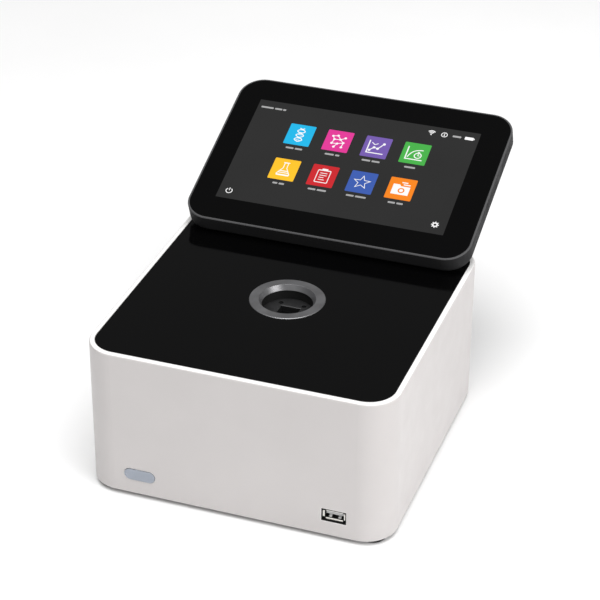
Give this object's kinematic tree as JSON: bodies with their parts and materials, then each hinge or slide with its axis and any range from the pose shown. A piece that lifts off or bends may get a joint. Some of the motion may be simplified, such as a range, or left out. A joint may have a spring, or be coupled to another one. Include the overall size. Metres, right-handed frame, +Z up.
{
  "type": "spectrophotometer",
  "caption": "Benchtop cuvette spectrophotometer: low rounded white case, gloss black top with a round sample well, and a touch display on friction hinges that overhangs the back.",
  "frame": {"origin": "middle of the rectangle of bench that the instrument covers, at bench level, with the display at its rest tilt", "axes": "+X to the user's right, +Y away from the user, +Z up"},
  "size_m": [0.2, 0.2914, 0.1604],
  "materials": {
    "white_paint": "fine satin powder coat",
    "black_panel": "high gloss black",
    "base_steel": "matt grey paint",
    "foot_rubber": "matt black rubber",
    "badge": "brushed, clear lacquered",
    "collar": "dark grey anodised",
    "holder": "black anodised",
    "steel": "plain steel",
    "screws": "black zinc plate",
    "heater": "amber film heater",
    "port_metal": "nickel plate",
    "port_plastic": "moulded",
    "black_plastic": "fine texture",
    "rocker": "semi gloss",
    "board": "solder resist",
    "bare_aluminium": "milled",
    "battery": "shrink sleeve",
    "optics_black": "black anodised",
    "lens_glass": "polished",
    "lamp": "clear bulb",
    "grating": "ruled mirror coat",
    "sensor": "ceramic package",
    "display_case": "satin black with a bright chamfer",
    "cover_glass": "gloss black border",
    "screen": "liquid crystal panel",
    "chassis": "die cast"
  },
  "bodies": {
    "instrument": {"base_plate": "base_steel", "battery_pack": "battery", "bench_pillars": "steel", "board_standoffs": "steel", "collimating_lens": "lens_glass", "cuvette_heater": "heater", "cuvette_holder": "holder", "dc_inlet": "black_plastic", "diffraction_grating": "grating", "fan_frame": "black_plastic", "flash_lamp": "lamp", "focusing_lens": "lens_glass", "front_badge": "badge", "front_usb_board": "board", "front_usb_shell": "port_metal", "front_usb_tongue": "port_plastic", "grating_mount": "bare_aluminium", "hdmi_port": "port_metal", "heat_sink": "bare_aluminium", "hinge_arms": "steel", "hinge_bracket": "steel", "insert_screws": "screws", "lamp_housing": "bare_aluminium", "lens_tubes": "optics_black", "light_sensor": "sensor", "long_screws": "screws", "mainboard": "board", "network_port": "port_metal", "optical_bench": "bare_aluminium", "outer_shell": "white_paint", "plunger_cap": "steel", "plunger_spring": "steel", "rear_panel": "base_steel", "rear_screws": "screws", "rubber_feet": "foot_rubber", "sensor_board": "board", "short_screws": "screws", "slit_plate": "optics_black", "slot_insert": "holder", "spectrometer_cover": "optics_black", "spectrometer_housing": "optics_black", "switch_body": "black_plastic", "top_panel": "black_panel", "usb_a_ports": "port_metal", "usb_b_port": "port_metal", "well_collar": "collar"},
    "display": {"display_back_cover": "display_case", "display_glass": "cover_glass", "lcd_panel": "screen", "display_chassis": "chassis", "display_board": "board", "hinge_leaves": "steel", "hinge_pins": "steel", "friction_washers": "steel", "leaf_screws": "screws", "display_screws": "screws"},
    "fan_wheel": {"fan_rotor": "black_plastic"},
    "rocker": {"power_rocker": "rocker"},
    "plunger": {"cuvette_plunger": "steel"}
  },
  "joints": [
    {"name": "display_tilt", "type": "hinge", "parent": "instrument", "child": "display", "pos_m": [0, 0.02248, 0.10833], "axis": [1, 0, 0], "range_deg": [-15, 45]},
    {"name": "fan_spin", "type": "hinge", "parent": "instrument", "child": "fan_wheel", "pos_m": [-0.04, 0.04463, 0.053], "axis": [0, 1, 0], "continuous": true},
    {"name": "power_switch", "type": "hinge", "parent": "instrument", "child": "rocker", "pos_m": [0.048, 0.05003, 0.053], "axis": [1, 0, 0], "range_deg": [-12, 0]},
    {"name": "cuvette_press", "type": "slide", "parent": "instrument", "child": "plunger", "axis": [0, 1, 0], "range_m": [0, 0.0007], "stiffness_N_per_m": 500, "springref_m": -0.001, "deforming": ["plunger_spring"]}
  ]
}
